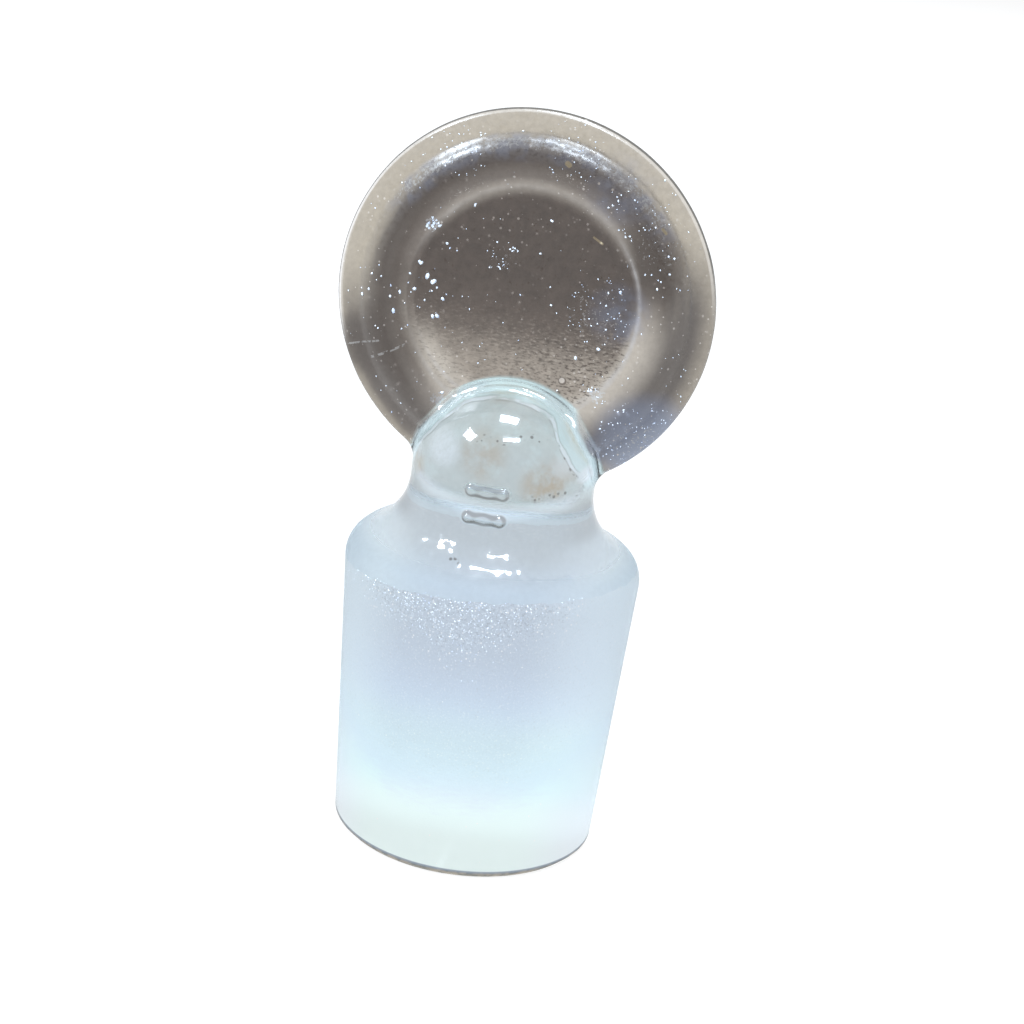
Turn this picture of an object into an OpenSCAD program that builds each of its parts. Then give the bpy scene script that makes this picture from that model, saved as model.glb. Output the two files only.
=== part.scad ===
// Glass stopper with a flat round head, pressed in one piece.
// It stands on the lower face of its plug: the origin is the centre of that face and +Z runs up
// the plug's axis. The head's two faces look along -Y and +Y. All sizes are in millimetres.

/* [Ground plug] */
// Diameter of the plug at its wide upper end
plug_d = 24; // [18:0.5:29]
// Height of the tapered plug, from its lower face to where the shoulder starts
plug_h = 22.9; // [12:0.1:40]
// Taper of the ground face, as the length over which its diameter grows by one millimetre
taper_run = 10; // [8:1:20]
// Height of the bevel round the plug's lower edge
bevel = 0.4; // [0.1:0.05:1]

/* [Shoulder and neck] */
// Radius of the rounded shoulder above the plug
shoulder_r = 2.35; // [1:0.05:3.5]
// Radius of the hollow between shoulder and neck
hollow_r = 5.4; // [3:0.1:9]
// Diameter of the neck at its waist
waist_d = 14.8; // [10:0.2:17]
// Straight stretch of neck between the waist and the dome that closes it
neck_run = 0.6; // [0.2:0.1:3]

/* [Head] */
// Diameter of the round head
head_d = 29.8; // [27:0.2:44]
// Depth that the head's lower edge reaches below the waist
head_sink = 0.35; // [0.1:0.05:1]
// Thickness of the rim at the head's outer edge
rim_t = 1.3; // [0.8:0.1:1.8]
// Width of the gently sloping band between the outer edge and the foot of the raised ring
band_w = 2; // [1.2:0.1:3]
// Thickness of the head at the foot of the raised ring
foot_t = 2.4; // [2:0.1:3]
// Radius of the raised ring's round section, half the thickness of the head over its crest
ring_r = 2.1; // [1.7:0.1:2.8]
// Distance from the crest inwards to the edge of the recess
inner_slope_w = 2.1; // [1.6:0.1:3]
// Thickness of the web at the floor of the recess
web_t = 2.6; // [1.6:0.1:3.2]
// Radius of the fillet where the neck's dome runs into the recess
dome_fillet_r = 1; // [0.4:0.1:1.6]

/* [Mould tally] */
// Number of short raised bars on the front of the neck
tally_count = 2; // [1:1:3]
// Length of a bar over its round ends
tally_l = 3.4; // [1.4:0.2:5]
// Radius of a bar's round section
tally_r = 0.45; // [0.3:0.05:0.7]
// Height that a bar stands proud of the neck
tally_proud = 0.25; // [0.1:0.05:0.3]
// Distance between the bars' centre lines
tally_pitch = 2.1; // [1.6:0.1:3]

/* [Hidden] */

// Facets of a full circle, for the preview
$fn = 120;

// Radii of the plug
plug_r = plug_d / 2;
function taper_radius(z) = plug_r - (plug_h - z) / taper_run / 2;

// Shoulder and hollow are two arcs that meet where the line between their centres crosses both
shoulder_c = [plug_r - shoulder_r, plug_h];
waist_r = waist_d / 2;
hollow_rise = sqrt(pow(shoulder_r + hollow_r, 2) - pow(waist_r + hollow_r - shoulder_c.x, 2));
waist_z = plug_h + hollow_rise;
hollow_c = [waist_r + hollow_r, waist_z];
dome_z = waist_z + neck_run;

// Head: its centre, and the half section that is turned round the head's own axis.
// In that section X is the distance from the head's axis and Y the distance from its mid-plane.
head_r = head_d / 2;
head_z = waist_z - head_sink + head_r;
rim_r = rim_t / 2;
rim_c = [head_r - rim_r, 0];
ring_foot = [head_r - band_w, foot_t / 2];
ring_c = [ring_foot.x - sqrt(pow(ring_r, 2) - pow(ring_foot.y, 2)), 0];
recess_edge = [ring_c.x - inner_slope_w, web_t / 2];

// Depth that a straight flank ends inside the round that it runs into, so that the two cross cleanly
bury = 0.02;
// End of a straight flank that leaves a given start and just dips into a circle round c from above
function flank_end(start, c, r) =
    let (angle = atan2(c.y - start.y, c.x - start.x) - acos((r - bury) / norm(c - start)))
        c - (r - bury) * [cos(angle), sin(angle)];
ring_touch = flank_end(recess_edge, ring_c, ring_r);
band_touch = flank_end(ring_foot, rim_c, rim_r);
// Share of its length by which the band's line is drawn on into the ring
overrun = 0.2;
band_start = ring_foot + overrun * (ring_foot - band_touch);

// Neck's radius at a height near the waist: the hollow below it, the dome above it
function neck_radius(z) =
    z < waist_z ? waist_r + hollow_r - sqrt(pow(hollow_r, 2) - pow(waist_z - z, 2))
    : z < dome_z ? waist_r
    : sqrt(pow(waist_r, 2) - pow(z - dome_z, 2));

// Half section of plug, shoulder, hollow and neck, right of the axis
module stem_section() {
    difference() {
        union() {
            polygon([
                [0, 0],
                [taper_radius(bevel) - bevel, 0],
                [taper_radius(bevel), bevel],
                [plug_r, plug_h],
                [0, plug_h]
            ]);
            polygon([[0, plug_h], shoulder_c, hollow_c, [0, waist_z]]);
            intersection() {
                translate(shoulder_c) circle(shoulder_r);
                translate([0, plug_h]) square([plug_r, shoulder_r]);
            }
            translate([0, waist_z]) square([waist_r, neck_run]);
        }
        translate(hollow_c) circle(hollow_r);
    }
}

// Plug, shoulder and neck, closed by a dome on top
module stem() {
    rotate_extrude() stem_section();
    translate([0, 0, dome_z]) sphere(waist_r);
}

// The head's half section: both faces in one outline, with the round ring and rim added
module head_section() {
    face_outline = [[0, web_t / 2], recess_edge, ring_touch, band_start, band_touch];
    other_face = [for (i = [len(face_outline) - 1 : -1 : 0]) [face_outline[i].x, -face_outline[i].y]];
    polygon(concat(face_outline, [rim_c], other_face));
    translate(ring_c) circle(ring_r);
    translate(rim_c) circle(rim_r);
}

// Round head: thin rim, raised ring and a recess on each face
module head() {
    translate([0, 0, head_z]) rotate([90, 0, 0]) rotate_extrude() head_section();
}

// Section of the fillet between the neck's dome and the floor of the recess, for both faces
module dome_fillet_section() {
    fillet_y = web_t / 2 + dome_fillet_r;
    fillet_x = sqrt(pow(waist_r + dome_fillet_r, 2) - pow(fillet_y, 2));
    difference() {
        polygon([[0, 0], [fillet_x, -fillet_y], [fillet_x, fillet_y]]);
        for (side = [-1, 1]) translate([fillet_x, side * fillet_y]) circle(dome_fillet_r);
    }
}

// Fillet round the dome, kept inside the crest of the head's ring
module dome_fillet() {
    // Tall enough to hold the whole fillet
    limit_h = 4 * ring_r;
    intersection() {
        translate([0, 0, dome_z]) rotate([90, 0, 0]) rotate_extrude() dome_fillet_section();
        translate([0, 0, head_z]) rotate([90, 0, 0]) cylinder(r = ring_c.x, h = limit_h, center = true);
    }
}

// One raised bar: a straight round bar with round ends, sunk into the front of the neck
module tally_bar(z) {
    bar_y = -(neck_radius(z) + tally_proud - tally_r);
    bar_end = tally_l / 2 - tally_r;
    translate([0, bar_y, z]) {
        rotate([0, 90, 0]) cylinder(r = tally_r, h = 2 * bar_end, center = true);
        for (side = [-1, 1]) translate([side * bar_end, 0, 0]) sphere(tally_r);
    }
}

// Short parallel bars on the front of the neck, centred on its waist
module tally() {
    for (i = [0 : tally_count - 1])
        tally_bar(waist_z + (i - (tally_count - 1) / 2) * tally_pitch);
}

// The whole stopper is one piece of glass
module stopper() {
    color("lightsteelblue") union() {
        stem();
        head();
        dome_fillet();
        tally();
    }
}

stopper();
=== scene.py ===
"""A pressed glass stopper: a ground tapered plug, a rounded shoulder, a short domed neck and a
flat round head with a raised ring and a shallow recess on each face, with dust stuck to its front,
and pale grains that stand in for the sparkle of its ground face and ring, a painted highlight. Most
of its colours are painted light and shade: what the clear glass shows of its surroundings, through
it and in it. It is laid out as a Blender add-on: property groups hold the sizes, the colours and the
stage, an operator makes the glass, one the dust and sparkle grains and one the stage, and the panel
lists them all. Lengths are in metres, and the shaders work in millimetres."""

from math import atan2, cos, hypot, pi, radians, sin, sqrt

import bpy
import numpy as np
from mathutils import Matrix, Vector


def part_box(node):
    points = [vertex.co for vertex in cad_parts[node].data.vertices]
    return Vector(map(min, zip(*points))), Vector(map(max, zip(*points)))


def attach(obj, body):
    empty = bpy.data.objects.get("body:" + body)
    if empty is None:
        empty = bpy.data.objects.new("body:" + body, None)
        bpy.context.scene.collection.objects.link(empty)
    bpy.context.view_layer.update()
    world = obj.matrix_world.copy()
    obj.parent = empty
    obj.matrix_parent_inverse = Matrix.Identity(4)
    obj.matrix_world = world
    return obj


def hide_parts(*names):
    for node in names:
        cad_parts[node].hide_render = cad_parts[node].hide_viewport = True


bl_info = {
    "name": "Pressed Glass Stopper",
    "version": (1, 0, 0),
    "blender": (4, 5, 0),
    "location": "View3D > Sidebar > Stopper",
    "description": "A flat-headed glass stopper with a finely ground plug",
    "category": "Add Mesh",
}

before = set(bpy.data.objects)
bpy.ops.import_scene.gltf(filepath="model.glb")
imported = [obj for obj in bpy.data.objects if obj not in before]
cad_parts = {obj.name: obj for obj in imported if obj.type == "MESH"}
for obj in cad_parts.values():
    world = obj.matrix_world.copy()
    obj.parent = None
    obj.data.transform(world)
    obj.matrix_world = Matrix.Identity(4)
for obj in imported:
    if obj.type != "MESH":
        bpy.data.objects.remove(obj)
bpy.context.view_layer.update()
BODY = "root"
NODE = "stopper"
MM = 0.001

# Overall sizes, from the frame's box
BOX_LOW, BOX_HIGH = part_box(NODE)
HEAD_R = (BOX_HIGH.x - BOX_LOW.x) / 2
PLUG_R = (BOX_HIGH.y - BOX_LOW.y) / 2
HEAD_Z = BOX_HIGH.z - HEAD_R

# Places of the body's three materials
POLISHED, GROUND, WORN = range(3)

# Sizes of the lumps in the pressed skin, from broad to fine
BROAD, MEDIUM, FINE = 1.9 * MM, 0.75 * MM, 0.45 * MM
# Fillet where a raised bar meets the neck
BAR_FILLET = 0.15 * MM
# Reach of a search for the surface, as a share of the head's or the plug's radius
SEARCH = 1.2
# Half width, in millimetres, of the soft edge between the front and the back half of a paint
FRONT_EDGE = 0.3

WHITE, BLACK = (1, 1, 1), (0, 0, 0)

# How strongly the glass bends light, and how its outer gloss does
CLEAR_IOR, GROUND_IOR, GLOSS_IOR = 1.22, 1.3, 1.5
# Roughness of the outer gloss where it is polished and where it is worn, of the ground face, and of dust
POLISHED_GLOSS, WORN_GLOSS, GROUND_ROUGH, DUST_ROUGH = 0.05, 0.26, 0.45, 0.7

# Dust on the head, and pale grains of painted sparkle along the ring's crest (the last four) and at a glint
# on the recess edge above left (the fourth): middle (x, z) from the head's centre, spread, count and largest
# grain as a share of the grain radius. The first two are the even scatter.
DUST_AND_SPARKLE_GATHERINGS = (
    (0, 0, 14.4, 150, 0.42),
    (0, 2, 8.6, 18, 0.8),
    (-9.3, -0.6, 3.4, 26, 1.1),
    (-7.5, 5.3, 0.6, 16, 1.0),
    (-1.8, 3.5, 1.4, 26, 0.5),
    (6.0, 0.4, 2.6, 60, 0.45),
    (10.6, -9.2, 3.4, 130, 0.42),
    (-5.6, -8.4, 0.8, 14, 0.9),
    (6.7, -6.2, 0.9, 16, 0.7),
    (-5.9, 11.0, 2.2, 34, 0.45),
    (2.6, 12.2, 2.4, 34, 0.45),
    (8.2, 8.8, 2.6, 44, 0.5),
    (10.8, 4.0, 2.2, 16, 0.6),
)
# Counts of the chips along the ground line and of the grains below it, pale grains that stand in for glints
# as painted sparkle
CHIPS, SPARKLE_GRAINS = 55, 420
# Sides of a grain
GRAIN_SIDES = 7

# Spots of scuffs and of painted glints on the head: middle (x, z) from its centre, radius and strength
SCUFFS_AND_GLINTS = (
    (10.0, 6.0, 3.6, 0.45),
    (6.0, 0.2, 3.6, 0.5),
    (-1.7, 3.4, 1.7, 0.5),
    (-7.5, 5.3, 1.0, 0.9),
    (10.4, -9.4, 3.8, 0.5),
    (6.6, -6.1, 1.1, 0.8),
    (-5.7, -8.3, 0.9, 0.9),
)
# Marks on the head: start and end as (x, z) from its centre, and width
SCRATCHES = (((-13.4, -5.2), (-10.8, -4.3), 0.16), ((-11.5, -5.9), (-8.6, -4.3), 0.2))
FIBRES = (((4.9, 6.0), (5.6, 5.6), 0.17), ((10.0, 7.4), (10.3, 7.1), 0.2), ((2.3, 11.3), (2.45, 11.2), 0.4))
# Lines of dark dots on the neck: start and end as (x, z) from the waist, and width
DARK_DOT_LINES = (
    ((-1.2, 4.8), (3.4, 5.25), 0.7),
    ((4.7, 4.9), (6.6, 2.2), 0.7),
    ((3.0, 0.8), (6.9, 1.2), 0.7),
    ((-1.9, -4.1), (-1.4, -4.2), 0.4),
)

# Lamps: name, azimuth, elevation, and the width and height that each fills, in degrees
# They face a point on the axis at this share of the height of the head's centre.
LAMP_AIM = 0.7
LAMPS = (("window_lamp", -64, 45, 15, 10), ("ceiling_lamp", 0, 86, 18, 10), ("small_lamp", 17, 59, 18, 5))


# Properties


def length(name, description, default, low=0.0, high=0.1):
    """A length property in metres."""
    return bpy.props.FloatProperty(
        name=name, description=description, default=default, min=low, max=high, unit="LENGTH", precision=5
    )


def amount(name, description, default, low=0.0, high=1.0):
    """A plain number property."""
    return bpy.props.FloatProperty(name=name, description=description, default=default, min=low, max=high)


def count(name, description, default, low, high):
    """A whole number property."""
    return bpy.props.IntProperty(name=name, description=description, default=default, min=low, max=high)


def colour(name, description, red, green, blue):
    """A colour property, given as display values from 0 to 255."""
    return bpy.props.FloatVectorProperty(
        name=name, description=description, default=linear(red, green, blue), size=3, subtype="COLOR",
        min=0, max=1,
    )


def linear(*display):
    """Display values from 0 to 255 as linear light from 0 to 1."""
    value = np.array(display) / 255
    return tuple(np.where(value <= 0.04045, value / 12.92, ((value + 0.055) / 1.055) ** 2.4))


class StopperShape(bpy.types.PropertyGroup):
    """Sizes of the pressed and ground blank."""

    plug_h: length("Plug height", "Height of the tapered plug below the shoulder", 22.9 * MM)
    taper_run: amount("Taper run", "Length over which the plug's diameter grows by one", 10, 8, 20)
    bevel: length("Bevel", "Height of the bevel round the plug's lower edge", 0.4 * MM)
    shoulder_r: length("Shoulder radius", "Radius of the rounded shoulder", 2.35 * MM)
    hollow_r: length("Hollow radius", "Radius of the hollow below the neck", 5.4 * MM)
    waist_r: length("Waist radius", "Radius of the neck at its waist", 7.4 * MM)
    neck_run: length("Neck run", "Straight neck between the waist and the dome", 0.6 * MM)
    rim_r: length("Rim radius", "Radius of the head's rounded rim", 0.65 * MM)
    band_w: length("Band width", "Width of the outer band round the ring", 2.0 * MM)
    foot_h: length("Foot height", "Half the thickness at the foot of the ring", 1.2 * MM)
    ring_r: length("Ring radius", "Radius of the ring's round section", 2.1 * MM)
    slope_w: length("Slope width", "From the ring's crest inwards to the recess", 2.1 * MM)
    web_h: length("Web height", "Half the thickness of the web in the recess", 1.3 * MM)
    join_r: length("Join radius", "Fillet where the neck runs into the head", 1.0 * MM)
    edge_r: length("Edge softness", "Rounding of the fire-polished edge of the recess", 0.35 * MM)
    crease_r: length("Crease softness", "Rounding where the band meets the ring", 0.15 * MM)
    tally_l: length("Tally length", "Length of a raised bar over its ends", 3.4 * MM)
    tally_r: length("Tally radius", "Radius of a bar's round section", 0.45 * MM)
    tally_proud: length("Tally proud", "Height of a bar over the neck", 0.25 * MM)
    tally_pitch: length("Tally pitch", "Distance between the bars", 2.1 * MM)
    tally_count: count("Tally count", "Number of bars", 2, 1, 3)
    ground_rise: length("Ground rise", "How far the ground face runs up onto the shoulder", 0.47 * MM)
    lump: length("Lump height", "Depth of the shallow lumps in the pressed skin", 0.02 * MM)
    scuff: length("Scuff depth", "Depth of the scuffs on the ring's crest", 0.03 * MM)
    wear: length("Wear depth", "Depth of the fine wear on the shoulder", 0.085 * MM)
    grain_r: length("Grain radius", "Radius of the largest grains stuck to the glass", 0.16 * MM)
    seed: count("Seed", "Start of the random draws", 4, 0, 999)
    columns: count("Columns", "Faces round a row", 340, 40, 340)


class StopperLook(bpy.types.PropertyGroup):
    """Colours of the glass. Most are painted light and shade: what the clear glass shows of its surroundings.
    """

    # Painted refraction, from band to low recess: the light and dark bands, crescent and recess that the
    # clear head shows of its surroundings
    band: colour("Band", "Cast of the outer band above", 183, 176, 163)
    low: colour("Low band", "Cast of the outer band below", 99, 94, 91)
    ring: colour("Ring", "Dark cast of the thick ring", 76, 68, 63)
    slope: colour("Slope", "Cast of the ring's inner slope above", 124, 117, 112)
    crescent: colour("Crescent", "Pale crescent on the inner slope below", 190, 184, 175)
    # Painted highlight: the light line along the recess edge
    edge: colour("Edge", "Light line on the recess edge", 196, 197, 200)
    recess: colour("Recess", "Cast of the recess", 85, 76, 71)
    recess_low: colour("Low recess", "Cast of the recess above the neck", 154, 146, 137)
    # Painted shade: the dark line along the upper rim
    rim_dark: colour("Dark rim", "Dark line round the upper rim", 62, 62, 60)
    # Bluish painted sheen on the head, also in the colour of its scuffs and of duller dust grains
    haze_and_sheen: colour("Haze", "Bluish haze of fine scuffs", 124, 146, 194)
    # Pale colour of scratches and scuffs, and of painted glints, sheen, sparkle and a painted band of light
    fleck_and_glint: colour("Fleck", "Pale flecks in the scuffs", 228, 242, 254)
    # Brownish grain of the ground face and mottling of its painted foot shade, and brownish painted
    # refraction in the dome
    stain_and_refraction: colour("Stain", "Brownish stain in the moulded skin", 164, 146, 122)
    # Dark marks, dark dots and dull grains, and painted shade on the bars' flanks, the arch line and the
    # neck's sides
    pit_and_shade: colour("Pit", "Dark pits and mould marks", 92, 88, 86)
    # Pale grains: dust, and grains of painted sparkle
    dust: colour("Dust", "Pale grains stuck to the glass", 236, 243, 252)
    fibre: colour("Fibre", "Yellowish fibres stuck to the head", 206, 190, 140)
    # Painted light: the pale fillet and arch round the neck, and pale patches on the dome
    join: colour("Join", "Pale cast of the fillet round the neck", 205, 236, 244)
    # The glass's pale tint, with painted refraction of its surroundings
    dome: colour("Dome", "Cast of the neck's dome", 182, 195, 198)
    neck: colour("Neck", "Cast of the neck below its waist", 181, 192, 198)
    shoulder: colour("Shoulder", "Cast of the shoulder", 190, 210, 226)
    # Painted light: the lighter sides of shoulder and plug
    side: colour("Side", "Lighter cast at the sides of shoulder and plug", 230, 246, 255)
    # Painted light of the ground face: duller above, bluish lower down, and a painted glow near its lower end
    # and up its flanks
    plug_top: colour("Plug top", "Cast of the ground face below the shoulder", 186, 198, 211)
    plug: colour("Plug", "Cast of the ground face", 196, 210, 228)
    plug_blue: colour("Blue plug", "Bluish cast above the glow", 212, 232, 254)
    plug_low: colour("Low plug", "Glow of the ground face near its lower end", 224, 254, 255)
    plug_side: colour("Plug side", "Bluish flanks of the glow", 222, 236, 255)
    # Painted shade: the dull line along the bevelled lower edge, bluish at its top
    foot: colour("Foot", "Dull line of the bevelled lower edge", 66, 66, 57)
    foot_top: colour("Foot top", "Bluish upper part of that line", 92, 112, 136)


class StopperStage(bpy.types.PropertyGroup):
    """The camera, lamps and floor."""

    aim: bpy.props.FloatVectorProperty(
        name="Aim", description="Point that the camera looks at", size=3, subtype="XYZ", unit="LENGTH",
        default=(1.03 * MM, 0.15 * MM, 27.42 * MM), precision=5,
    )
    distance: length("Distance", "From the camera to that point", 145.76 * MM, high=10)
    azimuth: amount("Azimuth", "Camera's turn towards +X from the front, in degrees", 8.12, -180, 180)
    elevation: amount("Elevation", "Camera's height, in degrees", 17.97, -90, 90)
    roll: amount("Roll", "Camera's roll, in degrees", 7.01, -180, 180)
    lens: amount("Lens", "Focal length, in millimetres of a 36 mm frame", 63.52, 1, 500)
    lamp_glow: amount("Lamp glow", "Brightness of a lamp's face, where 1 is white", 60, 0, 100)
    daylight: colour("Daylight", "Colour of the lamps", 228, 241, 255)
    room: amount("Room", "Brightness of the room on matt surfaces", 0.35, 0, 1)
    seen_glow: amount("Seen glow", "Brightness of room and floor where they are seen", 1.05, 0, 2)
    floor_glow: amount("Floor glow", "Share of the floor that is plain white where it is seen", 0.85)
    floor_size: length("Floor size", "Side of the square floor", 60, high=1000)


# Form of the glass, as signed distances: below zero is inside


def smooth_union(a, b, r):
    """Union of two distances with a round fillet of radius r where the surfaces meet."""
    return np.maximum(r, np.minimum(a, b)) - np.hypot(np.maximum(r - a, 0), np.maximum(r - b, 0))


def touch_normal(start, centre, r):
    """Outward direction of the line that leaves start and touches the circle round centre from above."""
    angle = atan2(centre[1] - start[1], centre[0] - start[0]) - np.arccos(
        r / hypot(centre[0] - start[0], centre[1] - start[1])
    )
    return -cos(angle), -sin(angle)


class Form:
    """The stopper's form, worked out once from its sizes."""

    def __init__(self, s):
        self.s = s
        self.shoulder_c = (PLUG_R - s.shoulder_r, s.plug_h)
        reach = s.shoulder_r + s.hollow_r
        self.waist_z = s.plug_h + sqrt(reach**2 - (s.waist_r + s.hollow_r - self.shoulder_c[0]) ** 2)
        self.hollow_c = (s.waist_r + s.hollow_r, self.waist_z)
        self.dome_z = self.waist_z + s.neck_run
        self.rim_c = (HEAD_R - s.rim_r, 0)
        self.foot = (HEAD_R - s.band_w, s.foot_h)
        self.ring_c = (self.foot[0] - sqrt(s.ring_r**2 - s.foot_h**2), 0)
        self.recess = (self.ring_c[0] - s.slope_w, s.web_h)
        self.band_n = touch_normal(self.foot, self.rim_c, s.rim_r)
        self.slope_n = touch_normal(self.recess, self.ring_c, s.ring_r)
        self.lattice = np.random.default_rng(s.seed).random((37, 37, 37))

    def plug_radius(self, z):
        """Radius of the plug's cone at a height, with the bevel at its foot."""
        cone = PLUG_R - (self.s.plug_h - z) / self.s.taper_run / 2
        return cone - np.maximum(self.s.bevel - z, 0)

    def stem(self, r, z):
        """Distance to plug, shoulder, hollow, neck and dome: the nearest of a cone, two tangent arcs,
        a cylinder and a sphere, each over its own stretch."""
        s = self.s
        cone = r - self.plug_radius(z)
        shoulder = np.hypot(r - self.shoulder_c[0], z - self.shoulder_c[1]) - s.shoulder_r
        hollow = s.hollow_r - np.hypot(r - self.hollow_c[0], z - self.hollow_c[1])
        along = (r - self.shoulder_c[0]) * (self.hollow_c[1] - self.shoulder_c[1])
        across = (z - self.shoulder_c[1]) * (self.hollow_c[0] - self.shoulder_c[0])
        dome = np.hypot(r, np.maximum(z - self.dome_z, 0)) - s.waist_r
        top = np.where(along > across, shoulder, hollow)
        return np.where(z < s.plug_h, cone, np.where(z < self.waist_z, top, dome))

    def head(self, rho, a):
        """Distance to the head in its half section, rho from its axis and a from its mid-plane: the web,
        the inner slope, the round ring, the outer band and the round rim."""
        s = self.s
        web = np.maximum(a - s.web_h, rho - self.ring_c[0])
        slope = (rho - self.ring_c[0]) * self.slope_n[0] + a * self.slope_n[1] - s.ring_r
        slope = np.maximum(slope, rho - self.ring_c[0] - s.ring_r * self.slope_n[0])
        ring = np.hypot(rho - self.ring_c[0], a) - s.ring_r
        band = (rho - self.rim_c[0]) * self.band_n[0] + a * self.band_n[1] - s.rim_r
        band = np.maximum(band, rho - self.rim_c[0] - s.rim_r * self.band_n[0])
        band = np.maximum(band, self.ring_c[0] - rho)
        rim = np.hypot(rho - self.rim_c[0], a) - s.rim_r
        inner = np.minimum(smooth_union(web, slope, s.edge_r), ring)
        return np.minimum(smooth_union(inner, band, s.crease_r), rim)

    def tally(self, x, y, z):
        """Distance to the raised bars: round bars with round ends, sunk into the neck's front."""
        s = self.s
        end = s.tally_l / 2 - s.tally_r
        found = np.full_like(x, 1.0)
        for i in range(s.tally_count):
            bar_z = self.waist_z + (i - (s.tally_count - 1) / 2) * s.tally_pitch
            neck = float(self.neck_radius(np.array(bar_z)))
            bar_y = -(neck + s.tally_proud - s.tally_r)
            bar = np.sqrt((x - np.clip(x, -end, end)) ** 2 + (y - bar_y) ** 2 + (z - bar_z) ** 2) - s.tally_r
            found = np.minimum(found, bar)
        return found

    def neck_radius(self, z):
        """Radius of the neck near its waist: the hollow's arc below it, the dome's above it."""
        s = self.s
        low = s.waist_r + s.hollow_r - np.sqrt(np.maximum(s.hollow_r**2 - (self.waist_z - z) ** 2, 0))
        high = np.sqrt(np.maximum(s.waist_r**2 - np.maximum(z - self.dome_z, 0) ** 2, 0))
        return np.where(z < self.waist_z, low, high)

    def glass(self, x, y, z):
        """Distance to the whole pressed blank at the points (x, y, z), with the skin's shallow lumps."""
        rho = np.hypot(x, z - HEAD_Z)
        whole = smooth_union(self.stem(np.hypot(x, y), z), self.head(rho, np.abs(y)), self.s.join_r)
        whole = smooth_union(whole, self.tally(x, y, z), BAR_FILLET)
        above_ground = np.clip((z - self.s.plug_h) / MM, 0, 1)
        return whole + above_ground * self.skin(x, y, z, rho)

    def skin(self, x, y, z, rho):
        """Depth of the skin: broad and fine lumps all over, scuffs on the crest of the ring's upper half,
        and fine wear on the front of the shoulder."""
        s = self.s
        broad = self.lumps(x, y, z, BROAD) + 0.4 * self.lumps(x, y, z, MEDIUM)
        fine = self.lumps(x, y, z, FINE)
        on_ring = np.clip((rho - self.ring_c[0]) / MM, 0, 1)
        on_ring = on_ring * np.clip((self.foot[0] - rho) / (0.2 * MM), 0, 1)
        on_ring = on_ring * np.clip((z - HEAD_Z) / (4 * MM), 0, 1)
        on_shoulder = np.clip(2 - np.abs(z - s.plug_h - 3.2 * MM) / MM, 0, 1)
        on_shoulder = on_shoulder * np.clip(2 - np.abs(x) / (4 * MM), 0, 1) * np.clip(-y / (4 * MM), 0, 1)
        return s.lump * (broad + 0.25 * fine) + (s.scuff * on_ring + s.wear * on_shoulder) * fine

    def lumps(self, x, y, z, size):
        """Smooth noise from 0 to 1: random values on a lattice of the given size, blended between."""
        count = len(self.lattice)
        at = np.stack(np.broadcast_arrays(x, y, z)) / size
        corner = np.floor(at).astype(int)
        step = at - corner
        step = step * step * (3 - 2 * step)
        total = 0
        for i in (0, 1):
            for j in (0, 1):
                for k in (0, 1):
                    at_corner = (corner[0] + i) % count, (corner[1] + j) % count, (corner[2] + k) % count
                    value = self.lattice[at_corner]
                    weight = np.where(i, step[0], 1 - step[0]) * np.where(j, step[1], 1 - step[1])
                    total = total + value * weight * np.where(k, step[2], 1 - step[2])
        return total


def last_inside(distance, low, high, steps=26):
    """Where distance changes sign between low, inside, and high, outside, by halving the span."""
    low = np.array(low, float)
    high = np.array(high, float)
    for _ in range(steps):
        middle = (low + high) / 2
        inside = distance(middle) < 0
        low = np.where(inside, middle, low)
        high = np.where(inside, high, middle)
    return (low + high) / 2


# Body mesh


def row_heights(form):
    """Heights of the rows from the bevel to the top, closer together where the form bends, with the number
    of the row that is the ground line."""
    s = form.s
    ground = s.plug_h + s.ground_rise
    neck, dome, arch = form.waist_z - 1.1 * MM, form.waist_z + 1.7 * MM, form.waist_z + 6.7 * MM
    top = form.waist_z + 9.1 * MM
    spans = [
        (0, s.bevel, 3),
        (s.bevel, 18 * MM, 8),
        (18 * MM, ground, 14),
        (ground, neck, 32),
        (neck, dome, 28),
        (dome, arch, 26),
        (arch, top, 24),
    ]
    parts = [np.linspace(low, high, count, endpoint=False) for low, high, count in spans]
    turn = np.linspace(np.arcsin((top - HEAD_Z) / HEAD_R), pi / 2, 140)[:-1]
    return np.concatenate([*parts, HEAD_Z + HEAD_R * np.sin(turn)]), sum(span[2] for span in spans[:3])


def ground_wave(s, turn):
    """Rise and fall of the ground line round the plug: one slow wave, and small steps where the
    grinding stopped at the uneven skin."""
    toward_front = turn + pi / 2
    slow = 0.78 * MM * np.cos(toward_front - radians(60))
    steps = 0.05 * MM * np.sin(23 * turn + 2 * np.sin(5 * turn))
    steps = steps + 0.035 * MM * np.sin(61 * turn + 3 * np.sin(7 * turn))
    return slow + steps


def body_grid(form):
    """Points of the closed surface. A row has one height z and runs round with x = W cos u, where W is the
    form's half width at that height, and y is the form's surface in front of or behind (x, z)."""
    s = form.s
    heights, ground_row = row_heights(form)
    turn = np.arange(s.columns) / s.columns * 2 * pi
    z = np.repeat(heights[:, None], s.columns, axis=1)
    near_ground = np.clip(1 - np.abs(z - heights[ground_row]) / (4.5 * MM), 0, 1)
    z = z + near_ground * ground_wave(s, turn)[None, :]
    side = np.sign(np.round(np.sin(turn), 9))[None, :] * np.ones_like(z)
    zero = np.zeros_like(z)
    width = last_inside(lambda w: form.glass(w, zero, z), zero, zero + SEARCH * HEAD_R)
    x = width * np.cos(turn)[None, :]
    return x, surface_y(form, x, z, side), z, ground_row


def surface_y(form, x, z, side=-1):
    """The surface's y at the points (x, z), in front for side -1 and behind for side 1."""
    zero = np.zeros_like(x)
    return side * last_inside(lambda t: form.glass(x, side * t, z), zero, zero + SEARCH * PLUG_R)


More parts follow.
